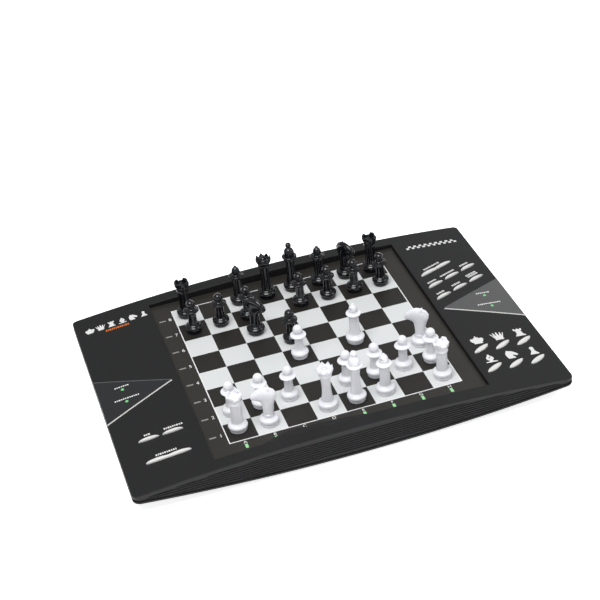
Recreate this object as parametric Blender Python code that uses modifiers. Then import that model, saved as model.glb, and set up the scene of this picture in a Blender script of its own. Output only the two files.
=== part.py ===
"""Electronic chess computer: an arched console with a sunk playing board, its keys and its men.

The console is a thin slab whose top and underside are both arched from side to side. The origin is
on the surface it stands on, under its middle: +X points to the h file, +Y to the eighth rank.
"""
import math

import bmesh
import bpy
from mathutils import Matrix, Vector

MM = 0.001

# ---- driving dimensions, in millimetres ----
SQUARE = 25.0                 # one playing square
BOARD_Y = 2.0                 # the board's centre, measured from the console's
SHEET_Z = 22.0                # playing surface above the table
WIDTH = 373.0
DEPTH = 256.0
CORNER_R = 6.0
BACK_CORNER_R = 4.0           # the two corners at the back are tighter
CROWN_Z = 29.4                # top of the arch, in the middle
BELLY_Z = 2.0                 # lowest point of the underside
ARCH = 10.4                   # how far the arches fall or rise over half the width
SKIN = 1.8                    # wall thickness of both housings
LIP = 3.2                     # height of the top housing's edge
GAP = 0.3                     # clearance between pieces that touch or nearly touch
INSET = 1.0                   # the bottom housing's walls stand this far behind the lip
FLANGE = 1.8                  # thickness of the bottom housing's lower edge
ARC_STEPS = 16
CORNER_STEPS = 4

# ---- board bed ----
BED_X = 116.6                 # half its width
BED_FRONT = -115.0
BED_BACK = 116.0
BED_FLOOR = 21.0
SHEET = 0.7
WINDOW = (6.0, 1.8)           # light window, length and width
RANK_WINDOW_X = -110.5
FILE_WINDOW_Y = -105.6

# ---- wings: everything on them is laid out on a plane that touches the arch at WING_X ----
WING_X = 150.0
KEY_RISE = 1.6
KEY_TRAVEL = 1.0
KEY_FLANGE = 0.8
MAT = 0.6
BOARD = 0.8                   # thickness of the circuit boards
LENS = 0.9
LENS_APEX_X = 122.8
LENS_HALF = 30.9
LENS_Y = -0.2
LENS_LIGHTS = (8.3, -8.9)
LENS_LIGHT_X = 164.8

# ---- keys: name, x, y, turn in degrees, kind; x and y from the console's middle ----
FUNCTION_TURN = 25.0
MAN_TURN = 29.0
KEYS = (
    ("on_key", -158.8, -65.7, 0.0, "half"),
    ("save_key", -138.6, -65.9, 0.0, "half"),
    ("training_key", -148.8, -93.9, 0.0, "wave"),
    ("new_game_key", 140.3, 62.4, FUNCTION_TURN, "wave"),
    ("move_key", 168.7, 55.9, FUNCTION_TURN, "half"),
    ("level_key", 130.7, 37.8, FUNCTION_TURN, "half"),
    ("take_back_key", 149.7, 46.8, FUNCTION_TURN, "half"),
    ("sound_key", 168.7, 36.2, FUNCTION_TURN, "half"),
    ("hint_key", 130.7, 18.2, FUNCTION_TURN, "half"),
    ("set_up_key", 149.7, 27.2, FUNCTION_TURN, "half"),
    ("king_key", 130.1, -66.8, MAN_TURN, "full"),
    ("queen_key", 149.4, -66.8, MAN_TURN, "full"),
    ("rook_key", 168.8, -66.8, MAN_TURN, "full"),
    ("bishop_key", 130.1, -95.2, MAN_TURN, "full"),
    ("knight_key", 149.4, -95.2, MAN_TURN, "full"),
    ("pawn_key", 168.8, -95.2, MAN_TURN, "full"),
)
KEY_HALF = 8.8                # half the length of a short key
WAVE_HALF = 18.9              # half the length of a long key

# ---- the position on the board: name, square, turn of a knight's nose from +X in degrees ----
WHITE_MEN = (
    ("rook_a", "a1", 0), ("knight_b", "b1", 165), ("queen", "d1", 0), ("king", "e1", 0),
    ("bishop_f", "f1", 0), ("rook_h", "h1", 0), ("bishop_c", "f4", 0), ("knight_g", "h3", 150),
    ("pawn_a", "a2", 0), ("pawn_b", "b2", 0), ("pawn_c", "c2", 0), ("pawn_d", "d4", 0),
    ("pawn_e", "e2", 0), ("pawn_f", "f2", 0), ("pawn_g", "g2", 0), ("pawn_h", "h2", 0),
)
BLACK_MEN = (
    ("rook_a", "a8", 0), ("knight_b", "c6", -55), ("bishop_c", "c8", 0), ("queen", "d8", 0),
    ("king", "e8", 0), ("bishop_f", "f8", 0), ("knight_g", "g8", -60), ("rook_h", "h8", 0),
    ("pawn_a", "a7", 0), ("pawn_b", "b7", 0), ("pawn_c", "c7", 0), ("pawn_d", "d5", 0),
    ("pawn_e", "e7", 0), ("pawn_f", "f7", 0), ("pawn_g", "g7", 0), ("pawn_h", "h7", 0),
)
# how far a few men stand off the middle of their square
STAND_OFF = {"a1": (-0.6, 2.6), "f4": (0.4, 1.8), "d4": (0.0, 0.6), "a8": (-0.6, 1.2),
             "c8": (-1.0, 0.8), "e7": (-0.8, 0.0), "e8": (-0.6, 0.8)}
TURN_STEPS = 10

# Turned outlines, (radius, height) from the top down to the foot.
BASE = ((5.6, 7.0), (7.6, 5.6), (8.1, 4.4), (7.4, 2.8), (7.3, 0.0))
PAWN_BASE = ((5.0, 6.6), (7.0, 5.2), (7.5, 4.1), (6.8, 2.6), (6.8, 0.0))
OUTLINES = {
    "pawn": ((0, 32.0), (2.9, 31.0), (4.1, 28.0), (3.2, 24.6), (6.8, 22.2), (4.0, 19.6),
             (3.6, 12.0)) + PAWN_BASE,
    "rook": ((0, 36.0), (6.6, 36.0), (5.4, 29.4), (4.6, 26.0), (4.5, 12.0)) + BASE,
    "bishop": ((0, 38.8), (2.4, 37.4), (3.7, 34.0), (3.2, 30.4), (6.5, 29.0), (6.0, 27.6),
               (4.3, 25.0), (4.3, 12.0)) + BASE,
    "queen": ((0, 43.4), (1.8, 42.2), (6.7, 41.6), (7.0, 38.4), (4.9, 35.0), (4.6, 32.0), (3.8, 21.0),
              (4.7, 10.0)) + BASE,
    "king": ((0, 49.0), (2.7, 46.6), (1.8, 44.0), (4.8, 39.8), (4.7, 36.6), (6.8, 35.0),
             (4.4, 30.6), (3.9, 20.0), (4.7, 10.0)) + BASE,
    "knight": ((0, 12.0), (4.4, 11.0)) + BASE,
}
MERLON = (2.6, 3.0)           # a rook's notch, its width and depth
# A knight's neck and head from the side, nose towards +X, (x, height).
HORSE = ((-4.2, 9.0), (-4.3, 18.0), (-7.2, 26.5), (-7.2, 30.5), (-5.0, 33.6), (-1.0, 35.6),
         (4.5, 35.5), (11.2, 31.8), (13.0, 28.4), (11.6, 24.6), (6.4, 22.4), (4.5, 18.5), (4.2, 9.0))
HORSE_THICK = 5.6

# ---- underside ----
FOOT = (7.0, 100.0, 96.0)     # radius, x and y of the feet
DOOR = (31.0, 62.0)           # half its width, and its front edge
RIB = (1.0, 2.1, 8)           # height, spacing and number of the ribs on the front face
SPEAKER = (18.0, -70.0, 40.0)
SLOT = (24.0, 1.6, 4.0, 5)    # length, width, spacing and number of the grille's slots


# ---- scene, materials and collections ----
def clear_scene():
    for obj in list(bpy.data.objects):
        bpy.data.objects.remove(obj, do_unlink=True)


def collection(name):
    group = bpy.data.collections.new(name)
    bpy.context.scene.collection.children.link(group)
    return group


def material(name, colour, roughness, metallic=0.0):
    mat = bpy.data.materials.new(name)
    mat.use_nodes = True
    shader = mat.node_tree.nodes["Principled BSDF"]
    shader.inputs["Base Color"].default_value = (*colour, 1.0)
    shader.inputs["Roughness"].default_value = roughness
    shader.inputs["Metallic"].default_value = metallic
    return mat


# ---- arches ----
def arch_radius():
    """Radius of an arc that falls by ARCH over half the width."""
    half = WIDTH / 2
    return (half * half + ARCH * ARCH) / (2 * ARCH)


def arch_fall(x):
    """How far an arch has fallen at x from its crown."""
    radius = arch_radius()
    return radius - math.sqrt(radius * radius - x * x)


def top_z(x):
    return CROWN_Z - arch_fall(x)


def underside_z(x):
    return BELLY_Z + arch_fall(x)


def wing_matrix(side):
    """The frame of a wing: origin on the arch at WING_X, z along the surface's normal."""
    slope = math.asin(WING_X / arch_radius())
    place = Matrix.Translation(Vector((side * WING_X, 0, top_z(WING_X))) * MM)
    return place @ Matrix.Rotation(side * slope, 4, "Y")


# ---- shapes ----
def console_outline(inset=0.0):
    """The console from above, with its edge moved in all round."""
    points = []
    for quarter in range(4):
        start = quarter * math.pi / 2
        sx = (1, -1, -1, 1)[quarter]
        sy = (1, 1, -1, -1)[quarter]
        radius = (BACK_CORNER_R if sy > 0 else CORNER_R) - inset
        centre = (sx * (WIDTH / 2 - inset - radius), sy * (DEPTH / 2 - inset - radius))
        for step in range(CORNER_STEPS + 1):
            angle = start + step / CORNER_STEPS * math.pi / 2
            points.append((centre[0] + radius * math.cos(angle), centre[1] + radius * math.sin(angle)))
    return points


def rectangle(x0, x1, y0, y1):
    return [(x0, y0), (x1, y0), (x1, y1), (x0, y1)]


def curve_to_mesh(obj, group, mat):
    """Turn a filled curve into a closed mesh object and remove the curve."""
    bpy.context.view_layer.update()
    graph = bpy.context.evaluated_depsgraph_get()
    mesh = bpy.data.meshes.new_from_object(obj.evaluated_get(graph))
    soup = bmesh.new()
    soup.from_mesh(mesh)
    bmesh.ops.remove_doubles(soup, verts=soup.verts, dist=0.00001)
    soup.to_mesh(mesh)
    soup.free()
    name = obj.name
    solid = bpy.data.objects.new(name + "_solid", mesh)
    solid.matrix_world = obj.matrix_world.copy()
    bpy.data.objects.remove(obj, do_unlink=True)
    solid.name = name
    mesh.name = name
    mesh.materials.clear()
    if mat:
        mesh.materials.append(mat)
    group.objects.link(solid)
    return solid


def plate(name, outline, low, high, group, mat=None, matrix=None):
    """A flat outline in X and Y, extruded from low to high."""
    data = bpy.data.curves.new(name, "CURVE")
    data.dimensions = "2D"
    data.fill_mode = "BOTH"
    data.extrude = (high - low) / 2 * MM
    spline = data.splines.new("POLY")
    spline.points.add(len(outline) - 1)
    for point, (x, y) in zip(spline.points, outline):
        point.co = (x * MM, y * MM, 0, 1)
    spline.use_cyclic_u = True
    obj = bpy.data.objects.new(name, data)
    bpy.context.scene.collection.objects.link(obj)
    obj.matrix_world = (matrix or Matrix.Identity(4)) @ Matrix.Translation((0, 0, (low + high) / 2 * MM))
    return curve_to_mesh(obj, group, mat)


def arched_plate(name, x_half, y0, y1, low, high, group, mat=None):
    """A slab between two heights along X, extruded along Y. low is a function of x, or a number."""
    xs = [x_half * (2 * step / ARC_STEPS - 1) for step in range(ARC_STEPS + 1)]
    outline = [(x, high(x)) for x in xs]
    if callable(low):
        outline += [(x, low(x)) for x in reversed(xs)]
    else:
        outline += [(x_half, low), (-x_half, low)]
    upright = Matrix.Translation((0, (y0 + y1) / 2 * MM, 0)) @ Matrix.Rotation(math.pi / 2, 4, "X")
    half = (y1 - y0) / 2
    return plate(name, outline, -half, half, group, mat, upright)


def turned(name, outline, group, mat):
    """A turned solid from (radius, height) points, top to foot."""
    mesh = bpy.data.meshes.new(name)
    shape = bmesh.new()
    previous = None
    for radius, height in tuple(outline) + ((0, outline[-1][1]),):
        vert = shape.verts.new((radius * MM, 0, height * MM))
        if previous:
            shape.edges.new((previous, vert))
        previous = vert
    shape.to_mesh(mesh)
    shape.free()
    obj = bpy.data.objects.new(name, mesh)
    mesh.materials.append(mat)
    group.objects.link(obj)
    screw = obj.modifiers.new("turn", "SCREW")
    screw.axis = "Z"
    screw.steps = TURN_STEPS
    screw.render_steps = TURN_STEPS
    screw.use_merge_vertices = True
    screw.merge_threshold = 0.00001
    screw.use_smooth_shade = True
    return obj


def drum(name, radius, centre, low, high, group, mat=None, steps=16):
    """An upright cylinder."""
    mesh = bpy.data.meshes.new(name)
    shape = bmesh.new()
    bmesh.ops.create_cone(shape, cap_ends=True, segments=steps, radius1=radius * MM,
                          radius2=radius * MM, depth=(high - low) * MM)
    shape.to_mesh(mesh)
    shape.free()
    obj = bpy.data.objects.new(name, mesh)
    obj.location = Vector((centre[0], centre[1], (low + high) / 2)) * MM
    if mat:
        mesh.materials.append(mat)
    group.objects.link(obj)
    return obj


# ---- booleans ----
def combine(target, operation, *tools):
    """Cut, join or intersect target with tools, which become hidden guides."""
    for tool in tools:
        step = target.modifiers.new(tool.name, "BOOLEAN")
        step.operation = operation
        step.solver = "EXACT"
        step.object = tool
        tool.hide_render = True
        tool.display_type = "WIRE"
    return target


def merged(name, objects, group):
    """Several closed guides that don't touch, as one object, so that one Boolean takes them all."""
    bpy.context.view_layer.update()
    shape = bmesh.new()
    for obj in objects:
        piece = obj.data.copy()
        piece.transform(obj.matrix_world)
        shape.from_mesh(piece)
        bpy.data.meshes.remove(piece)
        bpy.data.objects.remove(obj, do_unlink=True)
    mesh = bpy.data.meshes.new(name)
    shape.to_mesh(mesh)
    shape.free()
    result = bpy.data.objects.new(name, mesh)
    group.objects.link(result)
    return result


# ---- keys ----
def key_outline(kind, grow=0.0):
    """A key from above, before it is turned. grow widens it all round."""
    if kind == "full":
        return lens_outline(KEY_HALF + grow, 2.5 + grow, 2.5 + grow)
    if kind == "half":
        return lens_outline(KEY_HALF + grow, 3.4 + grow, 0.8 + grow)
    upper = []
    lower = []
    steps = 12
    for step in range(steps + 1):
        t = 2 * step / steps - 1
        across = math.sqrt(1 - t ** 6)
        x = (WAVE_HALF + grow) * t
        upper.append((x, (2.0 + 1.3 * math.sin(math.pi * abs(t)) + grow) * across))
        lower.append((x, -(1.1 + grow) * across))
    return upper + lower[-2:0:-1]


def lens_outline(half, up, down):
    steps = 8
    points = [(-half, 0.0)]
    for side, reach in ((1, up), (-1, down)):
        for step in range(1, steps):
            t = -math.cos(math.pi * step / steps) * side
            points.append((half * t, side * reach * (1 - t * t) ** 0.6))
        points.append((half * side, 0.0))
    return points[:-1]


def turned_outline(outline, turn, x, y):
    c = math.cos(math.radians(turn))
    s = math.sin(math.radians(turn))
    return [(x + c * u - s * v, y + s * u + c * v) for u, v in outline]


def key_place(x, y):
    """A key's side, and its place in its wing's frame."""
    side = 1 if x > 0 else -1
    slope = math.asin(WING_X / arch_radius())
    return side, (x - side * WING_X) / math.cos(slope), y


def make_key(name, x, y, turn, kind, group, tools, mat):
    side, u, v = key_place(x, y)
    frame = wing_matrix(side)
    stem_low = -SKIN - 2 * GAP
    key = plate(name, turned_outline(key_outline(kind), turn, u, v), stem_low, KEY_RISE, group, mat, frame)
    flange = plate(name + "_flange", turned_outline(key_outline(kind, 1.2), turn, u, v),
                   stem_low - KEY_FLANGE, stem_low + 0.2, tools, None, frame)
    return combine(key, "UNION", flange)


# ---- housings ----
def lens_corners(grow=0.0):
    """The left-to-right outline of the right wing's lens, from the console's middle."""
    edge = WIDTH / 2 + (5.0 if grow else 0.0)
    reach = LENS_HALF * (edge - LENS_APEX_X + grow) / (WIDTH / 2 - LENS_APEX_X) + grow
    return [(LENS_APEX_X - grow, LENS_Y), (edge, LENS_Y - reach), (edge, LENS_Y + reach)]


def lens_outline_on(side, grow=0.0):
    slope = math.asin(WING_X / arch_radius())
    return [(side * (x - WING_X) / math.cos(slope), y) for x, y in lens_corners(grow)]


def parting_z(x):
    return top_z(x) - LIP


def make_top_housing(group, tools, mat):
    half_x = WIDTH / 2
    half_y = DEPTH / 2
    shell = arched_plate("top_housing", half_x, -half_y, half_y, parting_z, top_z, group, mat)
    column = plate("top_column", console_outline(), -5, 60, tools)
    combine(shell, "INTERSECT", column)

    hollow = arched_plate("top_hollow", half_x - SKIN, SKIN - half_y, half_y - SKIN,
                          lambda x: parting_z(x) - 5, lambda x: top_z(x) - SKIN, tools)
    inner = plate("top_inner", console_outline(SKIN), -5, 60, tools)
    combine(hollow, "INTERSECT", inner)
    combine(shell, "DIFFERENCE", hollow)

    tray = arched_plate("tray", BED_X + SKIN, BED_FRONT - SKIN, BED_BACK + SKIN,
                        BED_FLOOR - SKIN, lambda x: top_z(x) - SKIN / 2, tools)
    combine(shell, "UNION", tray)
    bed = plate("bed_cut", rectangle(-BED_X, BED_X, BED_FRONT, BED_BACK), BED_FLOOR, 60, tools)
    combine(shell, "DIFFERENCE", bed)

    slots = []
    for place in range(8):
        offset = (place - 3.5) * SQUARE
        for x, y, size in ((RANK_WINDOW_X, BOARD_Y + offset, WINDOW),
                           (offset, FILE_WINDOW_Y, WINDOW[::-1])):
            outline = rectangle(x - size[0] / 2, x + size[0] / 2, y - size[1] / 2, y + size[1] / 2)
            slots.append(plate(f"slot_{len(slots)}", outline, BED_FLOOR - SKIN - 1, BED_FLOOR + 0.3, tools))
    combine(shell, "DIFFERENCE", merged("light_slots", slots, tools))

    holes = []
    for name, x, y, turn, kind in KEYS:
        side, u, v = key_place(x, y)
        outline = turned_outline(key_outline(kind, 0.35), turn, u, v)
        holes.append(plate(name + "_hole", outline, -SKIN - 2, 3, tools, None, wing_matrix(side)))
    combine(shell, "DIFFERENCE", merged("key_holes", holes, tools))

    pockets = []
    ports = []
    for side in (-1, 1):
        frame = wing_matrix(side)
        pockets.append(plate(f"lens_pocket_{side}", lens_outline_on(side, GAP), -LENS - GAP, 3, tools,
                             None, frame))
        for y in LENS_LIGHTS:
            u = side * (LENS_LIGHT_X - WING_X)
            place = Matrix.Translation(Vector((u, y, 0)) * MM)
            ports.append(plate(f"light_port_{side}_{y}", rectangle(-1.6, 1.6, -1.6, 1.6), -SKIN - 2,
                               -LENS, tools, None, frame @ place))
    combine(shell, "DIFFERENCE", merged("lens_pockets", pockets, tools))
    combine(shell, "DIFFERENCE", merged("light_ports", ports, tools))
    return shell


def make_bottom_housing(group, tools, mat):
    half_x = WIDTH / 2
    half_y = DEPTH / 2
    wall_x = half_x - INSET
    wall_y = half_y - INSET
    shell = arched_plate("bottom_housing", wall_x, -wall_y, wall_y, underside_z,
                         lambda x: parting_z(x) - GAP, group, mat)
    combine(shell, "INTERSECT", plate("bottom_column", console_outline(INSET), -5, 60, tools))
    flange = arched_plate("bottom_flange", half_x, -half_y, half_y, underside_z,
                          lambda x: underside_z(x) + FLANGE, tools)
    combine(flange, "INTERSECT", plate("flange_column", console_outline(), -5, 60, tools))
    combine(shell, "UNION", flange)
    inner_x = wall_x - SKIN
    inner_y = wall_y - SKIN
    hollow = arched_plate("bottom_hollow", inner_x, -inner_y, inner_y,
                          lambda x: underside_z(x) + SKIN, lambda x: parting_z(x) + 5, tools)
    combine(hollow, "INTERSECT", plate("bottom_inner", console_outline(INSET + SKIN), -5, 60, tools))
    combine(shell, "DIFFERENCE", hollow)
    combine(shell, "UNION", make_ribs(tools), make_feet(tools))

    width, front = DOOR
    frame = plate("door_frame", rectangle(-width - 4, width + 4, front - 4, wall_y - 0.4),
                  BELLY_Z + 0.6, BELLY_Z + 4.4, tools)
    combine(shell, "UNION", frame)
    recess = plate("door_recess", rectangle(-width - GAP, width + GAP, front - GAP, half_y + 5),
                   -1, BELLY_Z + GAP + SKIN + GAP, tools)
    opening = plate("battery_opening", rectangle(-width + 3, width - 3, front + 4, half_y - 10), -2, 12,
                    tools)
    combine(shell, "DIFFERENCE", recess, opening)

    length, slot_width, spacing, count = SLOT
    slots = []
    for place in range(count):
        y = SPEAKER[2] + (place - (count - 1) / 2) * spacing
        outline = rectangle(SPEAKER[1] - length / 2, SPEAKER[1] + length / 2,
                            y - slot_width / 2, y + slot_width / 2)
        slots.append(plate(f"grille_{place}", outline, -2, 9, tools))
    combine(shell, "DIFFERENCE", merged("grille_slots", slots, tools))
    return shell


def make_ribs(tools):
    """Level bars on the front wall, each as long as the lens-shaped face is at its height."""
    height, spacing, count = RIB
    wall = -(DEPTH / 2 - INSET)
    ribs = []
    middle = (CROWN_Z - LIP + BELLY_Z + FLANGE) / 2
    for place in range(count):
        z = middle + (place - (count - 1) / 2) * spacing
        room_above = CROWN_Z - LIP - GAP - (z + height)
        room_below = z - height - (BELLY_Z + FLANGE)
        room = max(min(room_above, room_below), 0.1)
        reach = min(math.sqrt(2 * arch_radius() * room), WIDTH / 2 - CORNER_R - 2)
        ribs.append(plate(f"rib_{place}", rectangle(-reach, reach, wall - 0.7, wall + 0.4),
                          z - height / 2, z + height / 2, tools))
    return merged("ribs", ribs, tools)


def make_feet(tools):
    radius, x, y = FOOT
    feet = []
    for sx in (-1, 1):
        for sy in (-1, 1):
            high = underside_z(x) + SKIN / 2
            feet.append(drum(f"foot_{sx}_{sy}", radius, (sx * x, sy * y), 0, high, tools))
    return merged("feet", feet, tools)


# ---- pieces in and on the housings ----
def make_inner_pieces(group, tools, circuit_mat, rubber_mat, metal_mat):
    for side, name, front, back in ((-1, "left", -106, 22), (1, "right", -110, 74)):
        frame = wing_matrix(side)
        key_floor = -SKIN - 2 * GAP - KEY_FLANGE - KEY_TRAVEL
        mat_top = key_floor - GAP
        rubber = rectangle(-27, 27, front, -40)
        if side > 0:
            rubber = [(-27, front), (27, front), (27, -40), (-18, -40), (-18, 12), (27, 12), (27, back),
                      (-27, back)]
        plate(f"{name}_key_mat", rubber, mat_top - MAT, mat_top, group, rubber_mat, frame)
        board_name = "main_circuit_board" if side > 0 else "left_circuit_board"
        board_top = mat_top - MAT - GAP
        board = plate(board_name, rectangle(-27, 27, front, back), board_top - BOARD, board_top, group,
                      circuit_mat, frame)
        lights = []
        for y in LENS_LIGHTS:
            u = side * (LENS_LIGHT_X - WING_X)
            lights.append(plate(f"{name}_light_{y}", rectangle(u - 1.2, u + 1.2, y - 1.2, y + 1.2),
                                board_top - 0.2, -SKIN - GAP, tools, None, frame))
        combine(board, "UNION", merged(f"{name}_lights", lights, tools))

    top = BED_FLOOR - SKIN - 1.0
    inner = (-102.0, -98.0)
    outline = [(-116, -114), (100, -114), (100, inner[1]), (inner[0], inner[1]), (inner[0], 98),
               (-116, 98)]
    light_board = plate("light_board", outline, top - BOARD, top, group, circuit_mat)
    lights = []
    for place in range(8):
        offset = (place - 3.5) * SQUARE
        for x, y in ((RANK_WINDOW_X, BOARD_Y + offset), (offset, FILE_WINDOW_Y)):
            lights.append(plate(f"light_{len(lights)}", rectangle(x - 1, x + 1, y - 1, y + 1), top - 0.2,
                                top + 1.0 - GAP, tools))
    combine(light_board, "UNION", merged("lights", lights, tools))

    radius, x, y = SPEAKER
    floor = underside_z(abs(x) + radius) + SKIN + GAP
    speaker = drum("speaker", radius, (x, y), floor, floor + 2.0, group, metal_mat, 20)
    magnet = drum("speaker_magnet", radius * 0.5, (x, y), floor + 1.5, floor + 6.0, tools, None, 16)
    combine(speaker, "UNION", magnet)


def make_battery_door(group, mat):
    width, front = DOOR
    plate("battery_door", rectangle(-width, width, front, DEPTH / 2), BELLY_Z + GAP, BELLY_Z + GAP + SKIN,
          group, mat)


# ---- chess men ----
def square_place(square):
    x = (ord(square[0]) - ord("a") - 3.5) * SQUARE
    y = (int(square[1]) - 4.5) * SQUARE + BOARD_Y
    off = STAND_OFF.get(square, (0.0, 0.0))
    return x + off[0], y + off[1]


def man_mesh(kind, mat, group, tools):
    """The finished mesh of one kind of man, standing on its own origin."""
    body = turned("master_" + kind, OUTLINES[kind], group, mat)
    if kind == "rook":
        width, depth = MERLON
        high = OUTLINES["rook"][0][1]
        cup = drum("rook_cup", 5.0, (0, 0), high - depth, high + 5, tools, None, 12)
        notch = rectangle(-9, 9, -width / 2, width / 2)
        notches = [plate(f"notch_{turn}", turned_outline(notch, turn, 0, 0), high - depth + 0.6,
                         high + 5, tools) for turn in (0, 90)]
        combine(body, "DIFFERENCE", cup, *notches)
    if kind == "knight":
        upright = Matrix.Rotation(math.pi / 2, 4, "X")
        half = HORSE_THICK / 2
        head = plate("horse_head", HORSE, -half, half, tools, None, upright)
        combine(body, "UNION", head)
    bpy.context.view_layer.update()
    graph = bpy.context.evaluated_depsgraph_get()
    mesh = bpy.data.meshes.new_from_object(body.evaluated_get(graph))
    bpy.data.objects.remove(body, do_unlink=True)
    return mesh


def make_men(group, tools, colours):
    for colour, men in (("white", WHITE_MEN), ("black", BLACK_MEN)):
        meshes = {}
        for name, square, turn in men:
            kind = name.split("_")[0]
            if kind not in meshes:
                meshes[kind] = man_mesh(kind, colours[colour], group, tools)
                meshes[kind].name = f"{colour}_{kind}"
            man = bpy.data.objects.new(f"{colour}_{name}", meshes[kind])
            x, y = square_place(square)
            man.location = Vector((x, y, SHEET_Z + GAP)) * MM
            man.rotation_euler.z = math.radians(turn)
            group.objects.link(man)


def build():
    clear_scene()
    group = collection("chess_computer")
    tools = collection("cutters")
    black = material("matte_black", (0.028, 0.028, 0.03), 0.55)
    gloss_black = material("gloss_black", (0.01, 0.01, 0.012), 0.2)
    white = material("white_plastic", (0.85, 0.85, 0.86), 0.3)
    silver = material("silver_plastic", (0.72, 0.72, 0.71), 0.4)
    smoke = material("smoked_lens", (0.03, 0.03, 0.035), 0.08)
    print_mat = material("printed_sheet", (0.05, 0.045, 0.04), 0.5)
    circuit = material("circuit_board", (0.02, 0.12, 0.05), 0.5)
    rubber = material("rubber", (0.2, 0.2, 0.2), 0.8)
    metal = material("speaker_metal", (0.4, 0.4, 0.4), 0.4, 0.9)

    make_top_housing(group, tools, black)
    make_bottom_housing(group, tools, black)
    make_battery_door(group, black)
    plate("playing_sheet", rectangle(GAP - BED_X, BED_X - GAP, BED_FRONT + GAP, BED_BACK - GAP),
          SHEET_Z - SHEET, SHEET_Z, group, print_mat)
    for side, name in ((-1, "left_lens"), (1, "right_lens")):
        plate(name, lens_outline_on(side), -LENS, 0, group, smoke, wing_matrix(side))
    make_inner_pieces(group, tools, circuit, rubber, metal)
    for name, x, y, turn, kind in KEYS:
        make_key(name, x, y, turn, kind, group, tools, silver)
    make_men(group, tools, {"white": white, "black": gloss_black})


build()
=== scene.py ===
"""Looks of the electronic chess computer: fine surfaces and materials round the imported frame.

The frame's axes are kept: +X to the h file, +Y to the eighth rank, origin on the table. Sizes are
in millimetres and are turned into metres where a mesh is made.
"""
import cmath
import math

import bmesh
import bpy
from mathutils import Matrix, Vector


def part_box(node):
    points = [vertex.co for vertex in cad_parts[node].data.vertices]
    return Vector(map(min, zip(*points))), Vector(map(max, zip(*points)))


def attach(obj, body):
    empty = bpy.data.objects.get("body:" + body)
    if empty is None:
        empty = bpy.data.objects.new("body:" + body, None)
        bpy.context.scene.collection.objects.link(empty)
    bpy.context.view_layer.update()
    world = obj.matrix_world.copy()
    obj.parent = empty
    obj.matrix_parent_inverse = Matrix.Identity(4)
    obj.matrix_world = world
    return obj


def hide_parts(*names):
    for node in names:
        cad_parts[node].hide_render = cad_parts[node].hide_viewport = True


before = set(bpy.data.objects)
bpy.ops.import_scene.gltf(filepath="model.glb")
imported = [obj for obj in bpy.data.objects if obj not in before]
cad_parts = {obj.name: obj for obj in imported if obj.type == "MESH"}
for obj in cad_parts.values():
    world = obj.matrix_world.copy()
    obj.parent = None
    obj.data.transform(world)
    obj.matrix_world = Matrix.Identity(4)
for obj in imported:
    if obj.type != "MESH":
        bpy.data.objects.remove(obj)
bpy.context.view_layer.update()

MM = 0.001

# ---- the console, as in the CAD ----
HOUSING_HIGH = Vector(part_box("top_housing")[1]) / MM
HALF_X = HOUSING_HIGH.x
HALF_Y = HOUSING_HIGH.y
CROWN_Z = HOUSING_HIGH.z
BELLY_Z = 2.0
ARCH = 10.4                   # fall of the top and rise of the underside over half the width
SKIN = 1.8
LIP = 3.2
GAP = 0.3
INSET = 1.0
FLANGE = 1.8
CORNER_R = 6.0
BACK_CORNER_R = 4.0
SQUARE = 25.0
BOARD_Y = 2.0
SHEET_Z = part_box("playing_sheet")[1][2] / MM
BED_X = 116.6
BED_FRONT = -115.0
BED_BACK = 116.0
BED_FLOOR = 21.0
WING_X = 150.0
LENS_APEX_X = 122.8
LENS_HALF = 30.9
LENS_Y = -0.2
LENS_LIGHTS = (8.3, -8.9)
LENS_LIGHT_X = 164.8
KEY_RISE = 1.6
KEY_SKIRT = 3.2               # how far a key's sides go down into the housing
KEY_SHOULDER = 0.3            # how far under the wing's surface its dome begins
DOOR = (31.0, 62.0)
FOOT = (7.0, 100.0, 96.0)
SPEAKER = (-70.0, 40.0)
SLOT = (24.0, 1.6, 4.0, 5)
BAY_WALL_Z = 16.2
SCREWS = ((-160, -108), (160, -108), (-160, 108), (160, 108), (0, -108))
RIB_PITCH = 2.15
RIB_COUNT = 8

# ---- underside fittings ----
COLLAR = (5.0, 3.6, 0.8)      # outer radius, inner radius and height
LABEL_BOX = (40, 100, -10, 22)
LABEL_THICK = 0.12
GRIP_RIDGES = 6
CELLS = 3

# ---- fine surface ----
SLICE = 6.0                   # spacing of the lines that bend a flat shape to the arch
TURN = 64                     # segments round a man
EDGE_STEPS = 4


ARCH_RADIUS = (HALF_X * HALF_X + ARCH * ARCH) / (2 * ARCH)
WING_SLOPE = math.asin(WING_X / ARCH_RADIUS)


def arch_fall(x):
    return ARCH_RADIUS - math.sqrt(ARCH_RADIUS * ARCH_RADIUS - x * x)


def top_z(x):
    return CROWN_Z - arch_fall(x)


def underside_z(x):
    return BELLY_Z + arch_fall(x)


def parting_z(x):
    return top_z(x) - LIP


def wing_matrix(side):
    """Origin on the arch at WING_X, z along the surface's normal, in millimetres."""
    return Matrix.Translation((side * WING_X, 0, top_z(WING_X))) @ Matrix.Rotation(side * WING_SLOPE, 4, "Y")


def on_console(side, point):
    """A point of a wing's plane, from the console's middle."""
    return side * WING_X + point.x * math.cos(WING_SLOPE), point.y


# ---- outlines ----
def arc_points(start, end, bulge, steps=6):
    """Points after start on an arc to end. A bulge of 1 is a half circle to the right of the way there."""
    a = complex(*start)
    b = complex(*end)
    if not bulge:
        return [tuple(end)]
    sweep = 4 * math.atan(bulge)
    centre = (a + b) / 2 + (b - a) * 1j / (2 * math.tan(sweep / 2))
    points = [centre + (a - centre) * cmath.exp(1j * sweep * step / steps) for step in range(1, steps + 1)]
    return [(p.real, p.imag) for p in points]


def drawn(outline, steps=6):
    """Turn (u, v) and (u, v, bulge) entries into plain points."""
    points = [tuple(outline[0][:2])]
    for entry in outline[1:]:
        points += arc_points(points[-1], entry[:2], entry[2] if len(entry) > 2 else 0, steps)
    return points


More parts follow.
